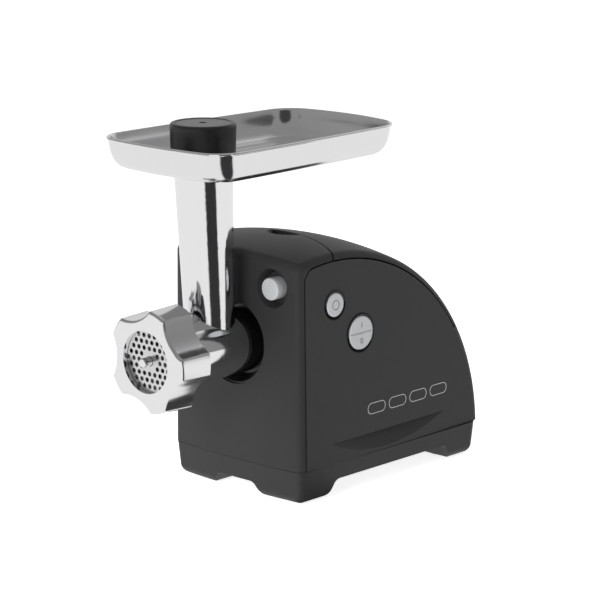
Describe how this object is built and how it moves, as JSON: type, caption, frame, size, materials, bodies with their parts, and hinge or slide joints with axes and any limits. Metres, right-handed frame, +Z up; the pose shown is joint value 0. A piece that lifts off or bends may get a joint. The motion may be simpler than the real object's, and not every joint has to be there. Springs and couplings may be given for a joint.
{
  "type": "electric meat grinder",
  "caption": "Countertop electric meat grinder with dark drum-backed housing, metal grinding head, feed tray, pusher, side controls and hinged storage lid.",
  "frame": {"origin": "on the floor under the middle of the machine", "axes": "+Z up, the grinding head points to -Y, the side controls are on +X"},
  "size_m": [0.1546, 0.3533, 0.327],
  "materials": {
    "housing_plastic": "matte",
    "inner_plastic": "matte",
    "socket_plastic": "satin",
    "silver_plastic": "satin",
    "pusher_plastic": "satin",
    "cast_aluminium": "polished",
    "steel": "polished",
    "core_steel": "satin",
    "rubber": "matte",
    "bearing_plastic": "satin",
    "gear_plastic": "satin",
    "bronze": "satin",
    "copper": "satin",
    "carbon": "matte",
    "board": "satin"
  },
  "bodies": {
    "housing": {"front_shell": "housing_plastic", "rear_shell": "housing_plastic", "base": "housing_plastic", "storage_bin": "inner_plastic", "control_carrier": "inner_plastic", "switch_block": "inner_plastic", "head_socket": "socket_plastic", "cord_gland": "rubber", "rubber_feet": "rubber", "release_plug": "inner_plastic", "lid_hinge_pin": "steel", "base_screws": "steel", "control_screws": "steel", "gearbox_screws": "steel", "motor_screws": "steel", "rocker_pin": "steel", "reverse_spring": "steel", "release_spring": "steel", "control_board": "board", "intermediate_shaft": "steel", "gearbox_housing": "inner_plastic", "gearbox_cover": "inner_plastic", "output_bush": "bronze", "motor_stator": "core_steel", "motor_coils": "copper", "brush_holders": "bronze", "carbon_brushes": "carbon", "motor_rear_bracket": "core_steel", "motor_bearings": "steel"},
    "head": {"grinder_head": "cast_aluminium", "auger_bush": "bearing_plastic"},
    "plate": {"perforated_plate": "steel"},
    "nut": {"ring_nut": "cast_aluminium"},
    "tray": {"feed_tray": "steel"},
    "pusher": {"pusher": "pusher_plastic", "pusher_cap": "pusher_plastic"},
    "drive": {"output_gear": "gear_plastic", "output_shaft": "steel", "auger": "cast_aluminium", "knife": "steel"},
    "intermediate": {"intermediate_gear": "gear_plastic"},
    "rotor": {"motor_shaft": "steel", "motor_pinion": "steel", "rotor_core": "core_steel", "commutator": "copper", "cooling_fan": "inner_plastic"},
    "lid": {"storage_lid": "housing_plastic"},
    "rocker": {"rocker_button": "silver_plastic"},
    "reverse": {"reverse_button": "silver_plastic"},
    "release": {"release_button": "silver_plastic"}
  },
  "joints": [
    {"name": "head_twist", "type": "hinge", "parent": "housing", "child": "head", "pos_m": [0, -0.07125, 0.135], "axis": [0, -1, 0], "range_deg": [0, 45]},
    {"name": "plate_slide", "type": "slide", "parent": "head", "child": "plate", "axis": [0, -1, 0], "range_m": [0, 0.012]},
    {"name": "nut_turn", "type": "hinge", "parent": "plate", "child": "nut", "pos_m": [0, -0.16625, 0.135], "axis": [0, -1, 0], "range_deg": [0, 1440]},
    {"name": "tray_lift", "type": "slide", "parent": "head", "child": "tray", "axis": [0, 0, 1], "range_m": [0, 0.06]},
    {"name": "pusher_lift", "type": "slide", "parent": "tray", "child": "pusher", "axis": [0, -0.0438, 0.999], "range_m": [0, 0.11]},
    {"name": "drive_spin", "type": "hinge", "parent": "housing", "child": "drive", "pos_m": [0, -0.03125, 0.135], "axis": [0, 1, 0], "continuous": true},
    {"name": "intermediate_spin", "type": "hinge", "parent": "housing", "child": "intermediate", "pos_m": [-0.02482, -0.02125, 0.09044], "axis": [0, 1, 0], "continuous": true},
    {"name": "rotor_spin", "type": "hinge", "parent": "housing", "child": "rotor", "pos_m": [0, 0.02875, 0.063], "axis": [0, 1, 0], "continuous": true},
    {"name": "lid_hinge", "type": "hinge", "parent": "housing", "child": "lid", "pos_m": [0, 0.14431, 0.13017], "axis": [-1, 0, 0], "range_deg": [0, 95]},
    {"name": "rocker_tilt", "type": "hinge", "parent": "housing", "child": "rocker", "pos_m": [0.0716, 0.00775, 0.141], "axis": [0, 1, 0], "range_deg": [0, 7]},
    {"name": "reverse_press", "type": "slide", "parent": "housing", "child": "reverse", "axis": [-1, 0, 0], "range_m": [0, 0.003], "stiffness_N_per_m": 500, "springref_m": -0.002},
    {"name": "release_press", "type": "slide", "parent": "housing", "child": "release", "axis": [0, 1, 0], "range_m": [0, 0.004], "stiffness_N_per_m": 600, "springref_m": -0.003}
  ],
  "couplings": [
    {"joint": "plate_slide", "follows": "nut_turn", "m_per_rad": 0.00047746},
    {"joint": "intermediate_spin", "follows": "drive_spin", "ratio": -3.8571},
    {"joint": "rotor_spin", "follows": "drive_spin", "ratio": 16.531}
  ]
}
